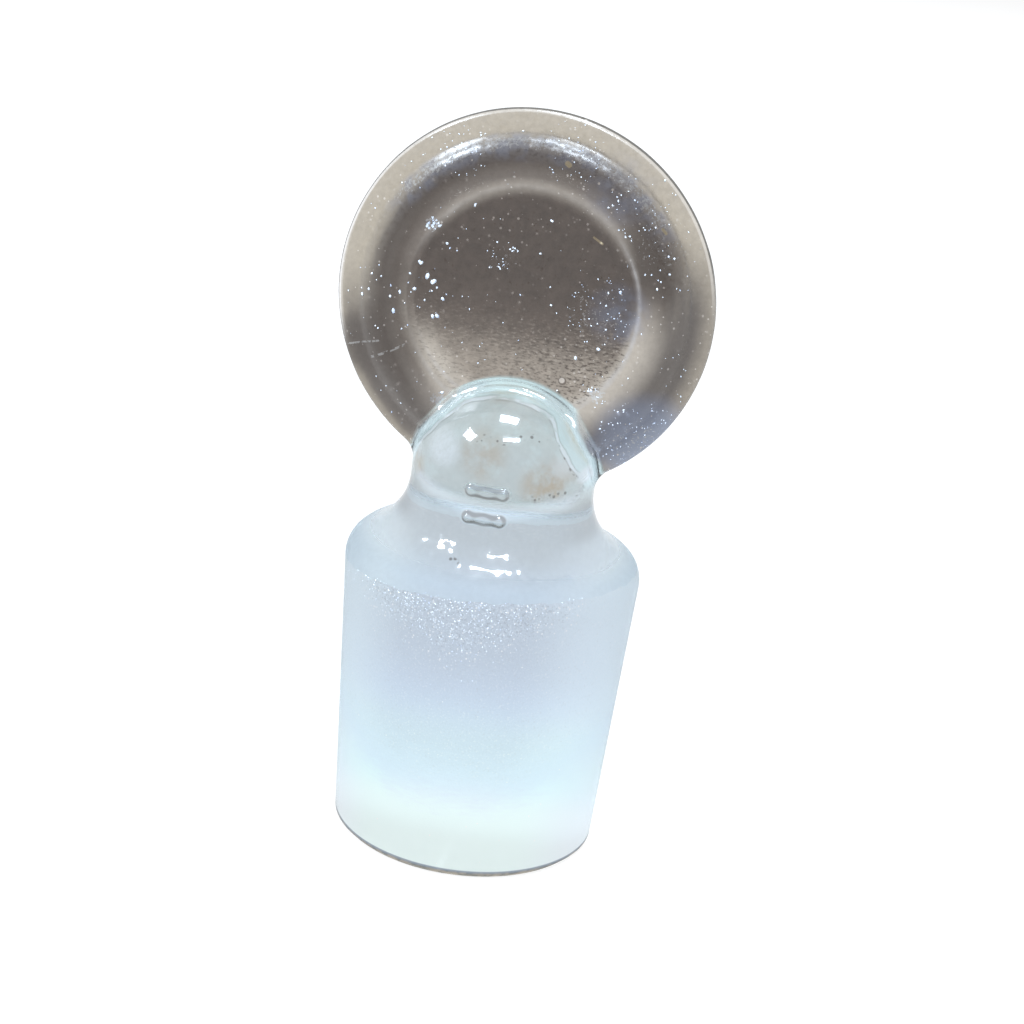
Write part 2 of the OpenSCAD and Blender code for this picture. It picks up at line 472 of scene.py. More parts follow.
def make_object(name, vertices, faces, materials, indices=None):
    """A mesh object at the origin from arrays of points and faces, riding on the body."""
    mesh = bpy.data.meshes.new(name)
    mesh.from_pydata(vertices.tolist(), [], faces)
    for material in materials:
        mesh.materials.append(material)
    mesh.polygons.foreach_set("use_smooth", np.full(len(mesh.polygons), True))
    if indices is not None:
        mesh.polygons.foreach_set("material_index", indices)
    mesh.update()
    piece = bpy.data.objects.new(name, mesh)
    bpy.context.scene.collection.objects.link(piece)
    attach(piece, BODY)
    return piece


def body_mesh(form, materials):
    """The glass as one closed mesh: a flat lower face closed by a pole, the rows, and a pole on top."""
    x, y, z, ground_row = body_grid(form)
    rings = 5
    share = np.arange(1, rings + 1)[:, None] / (rings + 1)
    x = np.concatenate([x[:1] * share, x])
    y = np.concatenate([y[:1] * share, y])
    z = np.concatenate([np.zeros((rings, z.shape[1])), z])
    rows, columns = x.shape
    points = np.stack([x, y, z], axis=-1).reshape(-1, 3)
    points = np.concatenate([points, [[0, 0, 0], [0, 0, HEAD_Z + HEAD_R]]])
    low_pole, high_pole = rows * columns, rows * columns + 1
    here = np.arange(columns)
    beside = np.roll(here, -1)
    start = (np.arange(rows - 1) * columns)[:, None]
    above = start + columns
    quads = np.stack([start + here, start + beside, above + beside, above + here], axis=-1)
    last = (rows - 1) * columns
    foot = np.stack([beside, here, np.full(columns, low_pole)], axis=-1)
    cap = np.stack([last + here, last + beside, np.full(columns, high_pole)], axis=-1)
    faces = quads.reshape(-1, 4).tolist() + foot.tolist() + cap.tolist()
    is_ground = np.arange(rows - 1)[:, None] < rings + ground_row
    from_neck = np.sqrt(x**2 + y**2 + np.maximum(z - form.dome_z, 0) ** 2) - form.s.waist_r
    is_head = (from_neck[:-1] > 0.6 * MM) & (z[:-1] > form.waist_z)
    indices = np.where(is_ground, GROUND, np.where(is_head, WORN, POLISHED)).ravel()
    indices = np.concatenate([indices, np.full(columns, GROUND), np.full(columns, WORN)])
    body = make_object("stopper_glass", points, faces, materials, indices)
    body.data.set_sharp_from_angle(angle=radians(35))
    return body


def dust_and_sparkle_grains(form):
    """Middle (x, z) and radius of each grain of dust and of painted sparkle on the head's front, clear of its
    rim and of the neck.
    """
    rng = np.random.default_rng(form.s.seed)

    def gather(x, z, spread, count, size):
        turn = rng.random(count) * 2 * pi
        reach = spread * np.sqrt(rng.random(count))
        radius = size * form.s.grain_r * (0.35 + 0.65 * rng.random(count) ** 2)
        return np.stack([(x + reach * np.cos(turn)) * MM, (z + reach * np.sin(turn)) * MM, radius])

    x, z, radius = np.concatenate([gather(*row) for row in DUST_AND_SPARKLE_GATHERINGS], axis=1)
    z = z + HEAD_Z
    on_head = (np.hypot(x, z - HEAD_Z) < HEAD_R - 0.3 * MM) & (np.hypot(x, z - form.dome_z) > 8.2 * MM)
    return x[on_head], z[on_head], radius[on_head]


def sparkle_grains(form):
    """Middle (x, z) and radius of each grain on the plug's front, pale grains that stand in for glints as
    painted
    sparkle: chips along the ground line, and grains that thin out downwards and to both sides below it."""
    rng = np.random.default_rng(form.s.seed + 2)
    x = np.concatenate([rng.uniform(-9.5, 10.5, CHIPS), rng.normal(-0.8, 3.6, SPARKLE_GRAINS)]) * MM
    x = np.clip(x, -10.5 * MM, 10.5 * MM)
    ground = form.s.plug_h + form.s.ground_rise + ground_wave(form.s, -np.arccos(x / PLUG_R))
    below = np.concatenate([rng.normal(0, 0.12, CHIPS), np.abs(rng.normal(0.3, 2.7, SPARKLE_GRAINS))]) * MM
    below = below * np.clip(1 - np.abs(x) / (12 * MM), 0.3, 1)
    radius = form.s.grain_r * (0.12 + 0.2 * rng.random(CHIPS + SPARKLE_GRAINS) ** 2)
    return x, ground - below, radius


def dust_and_sparkle_mesh(form, material):
    """All grains as one mesh. A grain is two low cones of a few sides, base to base, stretched and turned by
    its own random amounts, with its middle on the glass so that half of it stands proud."""
    rng = np.random.default_rng(form.s.seed + 1)
    x, z, radius = np.concatenate([dust_and_sparkle_grains(form), sparkle_grains(form)], axis=1)
    y = surface_y(form, x, z)
    sides = GRAIN_SIDES
    round_it = np.arange(sides) / sides * 2 * pi
    along = np.concatenate([np.cos(round_it), [0, 0]]) * (1 + 0.7 * rng.random((len(x), 1)))
    up = np.concatenate([np.sin(round_it), [0, 0]]) * np.ones_like(along)
    out = np.concatenate([np.zeros(sides), [-0.6, 0.6]]) * np.ones_like(along)
    turn = rng.random((len(x), 1)) * 2 * pi
    corners = [along * np.cos(turn) - up * np.sin(turn), out, along * np.sin(turn) + up * np.cos(turn)]
    points = np.stack(corners, axis=-1) * radius[:, None, None] + np.stack([x, y, z], axis=-1)[:, None, :]
    here, beside = np.arange(sides), np.roll(np.arange(sides), -1)
    proud = np.stack([here, beside, np.full(sides, sides)], axis=-1)
    sunk = np.stack([beside, here, np.full(sides, sides + 1)], axis=-1)
    start = np.arange(len(x))[:, None, None] * (sides + 2)
    faces = (start + np.concatenate([proud, sunk])).reshape(-1, 3)
    return make_object("surface_dust_and_sparkle", points.reshape(-1, 3), faces.tolist(), [material])


# Shader nodes


class Nodes:
    """Adds nodes to a tree and joins them up. A value may be a number, a colour or another node's output."""

    def __init__(self, tree):
        self.tree = tree

    def add(self, kind, values=(), **settings):
        node = self.tree.nodes.new(kind)
        node.location = (-200 * (len(self.tree.nodes) % 12), -160 * (len(self.tree.nodes) // 12))
        for name, value in settings.items():
            setattr(node, name, value)
        for name, value in dict(values).items():
            self.put(node.inputs[name], value)
        return node

    def put(self, socket, value):
        """Links an output into a socket, or writes a plain value there."""
        if isinstance(value, bpy.types.NodeSocket):
            self.tree.links.new(value, socket)
        elif hasattr(value, "__len__") and socket.type == "RGBA":
            socket.default_value = (*tuple(value)[:3], 1)
        else:
            socket.default_value = value

    def math(self, operation, a, b=0.0, clamp=False):
        return self.add("ShaderNodeMath", {0: a, 1: b}, operation=operation, use_clamp=clamp).outputs[0]

    def plus(self, a, b):
        return self.math("ADD", a, b)

    def minus(self, a, b):
        return self.math("SUBTRACT", a, b)

    def times(self, first, *others):
        """All values multiplied together."""
        for other in others:
            first = self.math("MULTIPLY", first, other)
        return first

    def most(self, first, *others):
        """The largest of several values."""
        for other in others:
            first = self.math("MAXIMUM", first, other)
        return first

    def vector(self, operation, a, b=(0, 0, 0), scale=None):
        values = {0: a, 1: b} if scale is None else {0: a, "Scale": scale}
        node = self.add("ShaderNodeVectorMath", values, operation=operation)
        return node.outputs["Value" if operation in ("LENGTH", "DISTANCE", "DOT_PRODUCT") else "Vector"]

    def join(self, x=0.0, y=0.0, z=0.0):
        return self.add("ShaderNodeCombineXYZ", {"X": x, "Y": y, "Z": z}).outputs[0]

    def split(self, vector):
        return self.add("ShaderNodeSeparateXYZ", {"Vector": vector}).outputs

    def span(self, value, low, high, to_low=0.0, to_high=1.0):
        """A smooth step from to_low at low to to_high at high."""
        values = {"Value": value, "From Min": low, "From Max": high, "To Min": to_low, "To Max": to_high}
        return self.add("ShaderNodeMapRange", values, interpolation_type="SMOOTHSTEP").outputs[0]

    def mix(self, factor, a, b, blend_type="MIX"):
        node = self.add("ShaderNodeMix", {}, data_type="RGBA", blend_type=blend_type)
        for name, value in (("Factor_Float", factor), ("A_Color", a), ("B_Color", b)):
            self.put(next(i for i in node.inputs if i.identifier == name), value)
        return next(o for o in node.outputs if o.identifier == "Result_Color")

    def lay(self, paint, shade, *masks):
        """Paint with a shade laid over it where every mask is high."""
        return self.mix(self.times(*masks), paint, shade)

    def front(self, y):
        """1 in front of the stopper's mid-plane and 0 behind it."""
        return self.span(y, FRONT_EDGE, -FRONT_EDGE)

    def noise(self, vector, scale, detail=2.0, roughness=0.5):
        values = {"Vector": vector, "Scale": scale, "Detail": detail, "Roughness": roughness}
        return self.add("ShaderNodeTexNoise", values, noise_dimensions="3D").outputs[0]

    def cells(self, vector, scale):
        """Distance to the nearest of a scatter of points, and each point's own random colour."""
        values = {"Vector": vector, "Scale": scale}
        return self.add("ShaderNodeTexVoronoi", values, voronoi_dimensions="3D").outputs

    def ramp(self, value, stops):
        """A colour ramp through stops of (position, colour), in order."""
        node = self.add("ShaderNodeValToRGB", {"Fac": value})
        elements = node.color_ramp.elements
        while len(elements) < len(stops):
            elements.new(1)
        for element, (position, _) in zip(elements, stops):
            element.position = position
        for element, (_, shade) in zip(elements, stops):
            element.color = (*tuple(shade)[:3], 1)
        return node.outputs["Color"]

    def bump(self, height, strength, distance, normal=None):
        values = {"Height": height, "Strength": strength, "Distance": distance}
        if normal is not None:
            values["Normal"] = normal
        return self.add("ShaderNodeBump", values).outputs[0]


def millimetres(nodes):
    """Object coordinates in millimetres, the same for every piece because each sits at the origin."""
    source = nodes.add("ShaderNodeTexCoord").outputs["Object"]
    mapping = nodes.add("ShaderNodeMapping", {"Vector": source, "Scale": (1 / MM,) * 3}, vector_type="POINT")
    return mapping.outputs[0]


def new_material(name, clear=1):
    """A new material with a Principled shader, clear or opaque, and a Nodes helper on its tree."""
    material = bpy.data.materials.new(name)
    material.use_nodes = True
    shader = material.node_tree.nodes["Principled BSDF"]
    shader.inputs["Metallic"].default_value = 0
    shader.inputs["Transmission Weight"].default_value = clear
    return material, shader, Nodes(material.node_tree)


def mm(value):
    """A length in metres as plain millimetres, for the shaders."""
    return value / MM


def make_group(name, inputs, build):
    """A shader node group that puts out one mask. inputs pairs each input's name with its socket type, and
    build takes a Nodes helper and the inputs and gives back the mask."""
    tree = bpy.data.node_groups.new(name, "ShaderNodeTree")
    for label, kind in inputs:
        tree.interface.new_socket(name=label, in_out="INPUT", socket_type=kind)
    tree.interface.new_socket(name="Mask", in_out="OUTPUT", socket_type="NodeSocketFloat")
    nodes = Nodes(tree)
    given = nodes.add("NodeGroupInput").outputs
    result = build(nodes, *(given[label] for label, kind in inputs))
    nodes.add("NodeGroupOutput", {"Mask": result})
    return tree


def build_specks(nodes, place, scale, size):
    """Round specks about the points of a random scatter, each up to size across its radius."""
    cells = nodes.cells(place, scale)
    distance = nodes.math("DIVIDE", cells["Distance"], scale)
    own = nodes.split(cells["Color"])[0]
    radius = nodes.times(size, nodes.span(own, 0.0, 1.0, 0.4, 1.0))
    return nodes.span(nodes.math("DIVIDE", distance, radius), 1.0, 0.6)


def build_scuffs(nodes, place, scale, density):
    """Broken fine scuffs and painted glints: noise over a threshold that falls as the density rises from 0 to
    1.
    """
    grain = nodes.noise(place, scale, 3, 0.65)
    threshold = nodes.minus(0.76, nodes.times(density, 0.36))
    mask = nodes.span(nodes.minus(grain, threshold), 0.0, 0.07)
    return nodes.times(mask, nodes.span(density, 0.02, 0.15))


def make_groups():
    """The two effects that the clear and the ground glass share: round specks, and fine scuffs and painted
    glints.
    """
    vector, number = "NodeSocketVector", "NodeSocketFloat"
    shared = (("Place", vector), ("Scale", number))
    specks = make_group("specks", (*shared, ("Size", number)), build_specks)
    scuffs = make_group("scuffs", (*shared, ("Density", number)), build_scuffs)
    return specks, scuffs


def use_group(nodes, group, **values):
    """Places a group in a tree with its own values, and gives back its mask."""
    given = {name.capitalize(): value for name, value in values.items()}
    return nodes.add("ShaderNodeGroup", given, node_tree=group).outputs[0]


def mottle(nodes, paint, place, scale, depth):
    """Paint made lighter and darker in soft patches by up to depth, as a share of its brightness."""
    shade = nodes.span(nodes.noise(place, scale, 3, 0.6), 0.3, 0.7, 1 - depth, 1 + depth)
    return nodes.mix(1.0, paint, shade, "MULTIPLY")


def patch(nodes, flat, x, z, radius, core=0.3):
    """A soft round patch about (x, z) in millimetres, full inside its core."""
    return nodes.span(nodes.vector("DISTANCE", flat, (x, 0, z)), radius, radius * core)


def stroke(nodes, flat, start, end, width):
    """A thin straight mark from start to end: one within half its width of the nearest point of that line."""
    first, last = Vector((start[0], 0, start[1])), Vector((end[0], 0, end[1]))
    run = last - first
    from_start = nodes.vector("SUBTRACT", flat, tuple(first))
    along = nodes.vector("DOT_PRODUCT", from_start, tuple(run))
    along = nodes.math("DIVIDE", along, run.length_squared, clamp=True)
    nearest = nodes.vector("SCALE", tuple(run), scale=along)
    return nodes.span(nodes.vector("DISTANCE", from_start, nearest), width * 0.6, width * 0.35)


def head_paint(nodes, place, form, look):
    """Painted light and shade of the head: what its clear glass shows of the surroundings, laid into its
    colour.
    Three ramps run outwards from the recess edge to the rim, for the upper, the lower left and the lower
    right part. They are blended by height, and dark patches of painted refraction lie over them. Then come
    the recess, the pale crescent in it, the painted light line and glow on its edge, and the painted
    highlight and shade lines of the rim."""
    x, _, z = nodes.split(nodes.vector("SUBTRACT", place, (0, 0, mm(HEAD_Z))))
    flat = nodes.join(x, 0.0, z)
    wander = nodes.times(nodes.minus(nodes.noise(place, 0.5, 3), 0.5), 0.9)
    true_rho = nodes.vector("LENGTH", flat)
    rho = nodes.plus(true_rho, nodes.times(wander, 0.6))
    edge, rim = mm(form.recess[0]), mm(HEAD_R)
    level = nodes.plus(nodes.minus(z, nodes.times(x, 0.22)), wander)

    def outwards(*stops):
        return nodes.ramp(nodes.math("DIVIDE", rho, rim), [(at / rim, shade) for at, shade in stops])

    upper = outwards(
        (9.2, look.slope), (10.4, middle(look.slope, look.ring)), (11.1, look.ring), (11.8, look.low),
        (12.3, middle(look.low, look.band, 0.6)), (13.0, look.band), (14.6, middle(look.band, WHITE, 0.06)),
    )
    left = outwards(
        (9.2, middle(look.ring, look.crescent, 0.8)), (9.8, middle(look.ring, look.crescent)),
        (10.9, look.ring), (12.3, look.low), (14.0, middle(look.low, look.slope, 0.2)),
        (14.6, middle(look.low, look.band, 0.65)),
    )
    right = outwards(
        (9.7, look.crescent), (10.5, middle(look.crescent, look.low, 0.25)), (11.7, look.low),
        (13.3, look.low), (14.5, middle(look.low, look.band, 0.55)),
    )
    paint = nodes.mix(nodes.span(x, -8.8, -5.4), left, right)
    inner_right = nodes.times(
        nodes.span(x, 2.0, 6.0), nodes.span(rho, 12.6, 11.6), nodes.span(level, -4.8, 0.2)
    )
    paint = nodes.lay(paint, upper, nodes.most(nodes.span(level, -2.5, 5.5), inner_right))
    # Dark patches of painted refraction
    paint = nodes.lay(paint, look.ring, patch(nodes, flat, 8.9, 4.4, 3.8), 0.9)
    paint = nodes.lay(paint, look.ring, patch(nodes, flat, -9.4, 0.2, 3.0), 0.45)
    paint = nodes.lay(paint, look.low, patch(nodes, flat, -13.0, -5.0, 3.0, 0.4), 0.75)
    paint = nodes.lay(paint, look.ring, patch(nodes, flat, -10.9, -4.6, 4.2, 0.3), 0.5)

    sink = nodes.plus(z, nodes.times(wander, 1.2))
    floor = nodes.ramp(
        nodes.span(sink, -7.0, 3.0),
        [
            (0.0, look.recess_low),
            (0.1, look.recess_low),
            (0.42, middle(look.recess_low, look.recess, 0.75)),
            (0.65, middle(look.recess_low, look.recess, 0.95)),
            (1.0, middle(look.recess, BLACK, 0.14)),
        ],
    )
    from_middle = nodes.plus(nodes.vector("DISTANCE", flat, (0.63, 0, 0)), wander)
    crescent = nodes.times(nodes.span(from_middle, edge - 1.6, edge - 0.5), nodes.span(level, 0.2, -4.2))
    floor = mottle(nodes, nodes.mix(crescent, floor, look.crescent), place, 1.3, 0.16)
    paint = nodes.lay(paint, floor, nodes.span(true_rho, edge + 0.12, edge - 0.12))
    # A painted highlight along the recess edge, and a painted glow inside it
    from_edge = nodes.math("ABSOLUTE", nodes.minus(true_rho, edge))
    broken = nodes.span(nodes.noise(place, 0.6, 2), 0.35, 0.6, 0.3, 0.8)
    fading = nodes.times(nodes.span(x, -9.2, -6.0), nodes.span(z, 3.0, 8.0, 1.0, 0.35))
    line = nodes.times(nodes.span(from_edge, 0.3, 0.03), broken, fading)
    paint = nodes.lay(paint, look.edge, line)
    glow = nodes.times(nodes.span(from_edge, 0.95, 0.1), nodes.span(z, 3.0, 7.5), 0.4)
    paint = nodes.lay(paint, look.crescent, glow)

    # A painted white highlight line and a painted dark shade line along the upper rim
    on_top = nodes.span(level, -3, 2)
    paint = nodes.lay(paint, WHITE, nodes.span(true_rho, rim - 0.36, rim - 0.26), on_top)
    return nodes.lay(paint, look.rim_dark, nodes.span(true_rho, rim - 0.16, rim - 0.1), on_top)


def head_marks(nodes, paint, place, groups, look):
    """Scuffs with painted glints, bluish painted sheen, painted ripples, scratches, fibres, dust specks and a
    seed with a painted rim and glint, laid over the head's painted light and shade.
    """
    specks, scuffs = groups
    x, y, z = nodes.split(nodes.vector("SUBTRACT", place, (0, 0, mm(HEAD_Z))))
    flat = nodes.join(x, 0.0, z)
    front = nodes.front(y)
    rho = nodes.vector("LENGTH", flat)
    paint = mottle(nodes, paint, place, 2.4, 0.09)
    # Along the ring's upper crest and in some spots: scuffs and painted glints, where the lamps' highlights
    # spread
    top = nodes.span(z, 5.0, 8.5)
    crest = nodes.times(nodes.span(rho, 11.4, 12.4), nodes.span(rho, 13.0, 12.7), top)
    worn_and_glinting = nodes.most(
        nodes.times(crest, 0.75),
        nodes.times(patch(nodes, flat, -6.6, 10.6, 3.2), crest),
        nodes.times(patch(nodes, flat, 2.4, 12.2, 3.0), crest),
        *(nodes.times(patch(nodes, flat, *spot), strength) for *spot, strength in SCUFFS_AND_GLINTS),
    )
    # Bluish painted sheen in patches and along the ring's crest
    cloud = nodes.noise(place, 0.8, 2)
    low_sheen = patch(nodes, flat, 10.8, -9.4, 4.8, 0.45)
    side_sheen = nodes.times(patch(nodes, flat, 7.6, 0.4, 3.0, 0.1), nodes.span(cloud, 0.35, 0.6, 0.2, 0.75))
    high_sheen = nodes.times(patch(nodes, flat, 6.4, 9.9, 3.4, 0.1), nodes.span(cloud, 0.35, 0.6, 0.15, 0.5))
    crest_sheen = nodes.times(nodes.span(rho, 10.8, 12.2), nodes.span(rho, 13.3, 12.7), top)
    crest_sheen = nodes.times(crest_sheen, nodes.span(cloud, 0.4, 0.62, 0.1, 0.6))
    paint = nodes.lay(paint, look.haze_and_sheen, nodes.most(low_sheen, side_sheen, high_sheen, crest_sheen), front)
    # Pale flecks of scuffs and painted glints
    fine = use_group(nodes, scuffs, place=place, scale=4.4, density=nodes.times(worn_and_glinting, front))
    paint = nodes.lay(paint, middle(look.fleck_and_glint, look.haze_and_sheen, 0.2), fine, 0.85)

    # Painted light and dark ripples in the recess above the neck
    ripple = nodes.noise(nodes.vector("MULTIPLY", place, (1.0, 1.0, 2.4)), 2.3, 3, 0.6)
    aside = nodes.span(x, -6.0, 6.0, 0.45, 1.0)
    zone = nodes.times(nodes.span(z, 0.6, -3.2), nodes.span(rho, 9.1, 8.6), aside, front)
    paint = nodes.lay(paint, middle(look.ring, BLACK, 0.4), nodes.span(ripple, 0.54, 0.59), zone)
    paint = nodes.lay(paint, look.crescent, nodes.span(ripple, 0.44, 0.38), zone, 0.8)

    for scratch in SCRATCHES:
        dash = nodes.span(nodes.noise(place, 2.4, 2), 0.42, 0.52)
        paint = nodes.lay(paint, look.fleck_and_glint, stroke(nodes, flat, *scratch), dash, front)
    for fibre in FIBRES:
        paint = nodes.lay(paint, look.fibre, stroke(nodes, flat, *fibre), front)

    gathered = nodes.span(nodes.noise(place, 0.3, 2), 0.5, 0.6)
    small = use_group(nodes, specks, place=nodes.vector("ADD", place, (31, 17, 5)), scale=1.7, size=0.12)
    dust = use_group(nodes, specks, place=nodes.vector("ADD", place, (13, 27, 8)), scale=1.2, size=0.09)
    dust = nodes.most(nodes.times(small, gathered), dust)
    paint = nodes.lay(paint, WHITE, dust)
    # A seed: a bubble drawn as a painted dark rim round a painted glint
    paint = nodes.lay(paint, look.ring, patch(nodes, flat, 3.9, -5.42, 0.36, 0.8), front)
    return nodes.lay(paint, WHITE, patch(nodes, flat, 3.86, -5.36, 0.25, 0.7), front)


def arch_draw(nodes, flat, left, right):
    """How far the arch over the dome draws in at its left and right flank, from places round the waist."""
    at_left = nodes.times(patch(nodes, flat, -5.2, 5.2, 2.8), left)
    at_right = nodes.times(patch(nodes, flat, 5.8, 4.5, 3.0), right)
    return nodes.plus(at_left, at_right)


def stem_paint(nodes, place, form, look, groups):
    """The shoulder, neck and dome by height over the waist: the glass's pale tint with painted refraction,
    painted light at the sides and painted shade at the neck's sides, brownish painted refraction in cloudy
    patches, pale patches of painted light and sheen, a band of painted light that sags across the front, dark
    dotted lines, painted light and shade along the bars' flanks, and the pale painted arch over the dome with
    a painted highlight on its inner line."""
    specks, _ = groups
    waist_z = mm(form.waist_z)
    x, y, z = nodes.split(nodes.vector("SUBTRACT", place, (0, 0, waist_z)))
    flat = nodes.join(x, 0.0, z)
    front = nodes.front(y)
    low, high = mm(form.s.plug_h) - waist_z, 10.0

    def at(height):
        return (height - low) / (high - low)

    # The glass's pale tint with painted refraction, by height
    paint = nodes.ramp(
        nodes.math("DIVIDE", nodes.minus(z, low), high - low),
        [
            (0.0, middle(look.side, look.shoulder, 0.7)),
            (at(-5.5), look.shoulder),
            (at(-3.7), look.neck),
            (at(-0.7), look.neck),
            (at(0.6), look.dome),
        ],
    )
    from_axis = nodes.math("ABSOLUTE", x)
    # Painted light at the sides of the shoulder
    aside = nodes.times(nodes.span(from_axis, 4.0, 9.0), nodes.span(z, -1.7, -3.7))
    paint = nodes.lay(paint, look.side, aside, 0.6)
    # Painted shade at the neck's sides, just below the waist
    throat = nodes.times(
        nodes.span(from_axis, 5.0, 8.0), nodes.span(z, -3.4, -2.2), nodes.span(z, 0.4, -0.6)
    )
    paint = nodes.lay(paint, middle(look.neck, look.pit_and_shade), throat, nodes.span(x, -6.0, 6.0, 0.95, 0.6))

    # Brownish painted refraction of the head, seen through the dome in cloudy patches
    cloud = nodes.noise(place, 0.5, 4, 0.65)
    above = nodes.span(z, 0.0, 0.8)
    seen_through = nodes.most(
        nodes.times(patch(nodes, flat, 0.2, 6.3, 2.8), 0.15),
        nodes.times(patch(nodes, flat, -0.8, 3.7, 2.6), 0.7),
        patch(nodes, flat, 4.3, 2.0, 2.6),
        patch(nodes, flat, -6.4, 1.5, 1.3),
    )
    paint = nodes.lay(paint, look.stain_and_refraction, above, seen_through, nodes.span(cloud, 0.36, 0.6, 0.3, 1.0))
    # Pale patches of painted light on the dome
    pale = nodes.noise(nodes.vector("ADD", place, (9, 4, 2)), 0.55, 3, 0.6)
    paint = nodes.lay(paint, look.join, above, nodes.span(pale, 0.52, 0.72), 0.3)
    paint = mottle(nodes, paint, place, 2.2, 0.035)
    # Pale patches of painted sheen on the dome
    pale_sheen = nodes.span(nodes.noise(place, 2.6, 3, 0.6), 0.35, 0.6, 0.7, 1.0)
    paint = nodes.lay(paint, look.fleck_and_glint, patch(nodes, flat, -4.1, 3.6, 1.9, 0.3), pale_sheen, front)
    paint = nodes.lay(paint, look.fleck_and_glint, patch(nodes, flat, 5.3, 3.3, 1.4, 0.1), front, 0.45)

    # A band of painted light that sags across the front of the neck
    off_middle = nodes.minus(x, 0.3)
    sag = nodes.times(off_middle, off_middle, 0.023)
    from_bright_band = nodes.minus(nodes.plus(z, 0.3), sag)
    bright_band = nodes.span(nodes.math("ABSOLUTE", from_bright_band), 0.95, 0.1)
    reach = nodes.span(nodes.math("ABSOLUTE", off_middle), 7.0, 5.6)
    paint = nodes.lay(paint, look.fleck_and_glint, bright_band, reach, front)

    # Lines of dark dots
    dots = use_group(nodes, specks, place=place, scale=2.6, size=0.2)
    dotted_lines = nodes.most(*(stroke(nodes, flat, *dot_line) for dot_line in DARK_DOT_LINES))
    paint = nodes.lay(paint, middle(look.pit_and_shade, BLACK, 0.4), dotted_lines, dots, front, 0.9)

    # Painted light and shade along the bars' flanks: lighter above, darker underneath
    for i in range(form.s.tally_count):
        bar_z = (i - (form.s.tally_count - 1) / 2) * mm(form.s.tally_pitch)
        end = mm(form.s.tally_l / 2 - form.s.tally_r)
        beside = nodes.minus(x, nodes.span(x, -end, end, -end, end))
        off = nodes.minus(z, bar_z)
        distance = nodes.vector("LENGTH", nodes.join(beside, 0.0, off))
        side = nodes.span(nodes.math("ABSOLUTE", nodes.minus(distance, 0.38)), 0.18, 0.06)
        under = nodes.span(off, 0.05, -0.15)
        shade = nodes.mix(under, middle(look.pit_and_shade, look.fleck_and_glint, 0.15), middle(look.pit_and_shade, BLACK, 0.3))
        paint = nodes.lay(paint, shade, side, front, 0.9)

    # Painted light: the pale arch over the dome
    wobble = nodes.times(nodes.minus(pale, 0.5), 0.25)
    from_dome = nodes.vector("DISTANCE", flat, (0, 0, mm(form.s.neck_run)))
    from_dome = nodes.plus(from_dome, wobble)
    from_dome = nodes.plus(from_dome, arch_draw(nodes, flat, 0.25, 0.6))
    arch = nodes.times(nodes.span(from_dome, 6.7, 7.0), nodes.span(z, 0.6, 1.8))
    paint = nodes.lay(paint, look.join, arch)
    # A painted highlight along the arch's inner line, edged with painted shade
    from_line = nodes.math("ABSOLUTE", nodes.minus(from_dome, 6.85))
    strong = nodes.times(nodes.span(nodes.noise(place, 0.7, 2), 0.36, 0.46), nodes.span(z, 1.9, 3.1), front)
    paint = nodes.lay(paint, look.pit_and_shade, nodes.span(from_line, 0.2, 0.11), strong, 0.4)
    paint = nodes.lay(paint, look.fleck_and_glint, nodes.span(from_line, 0.11, 0.05), strong)
    # A painted glint at the arch's right foot
    return nodes.lay(paint, look.fleck_and_glint, patch(nodes, flat, 6.92, 2.3, 0.8, 0.4), front)


def middle(a, b, share=0.5):
    """The colour part of the way from a to b."""
    return tuple(p + (q - p) * share for p, q in zip(a, b))


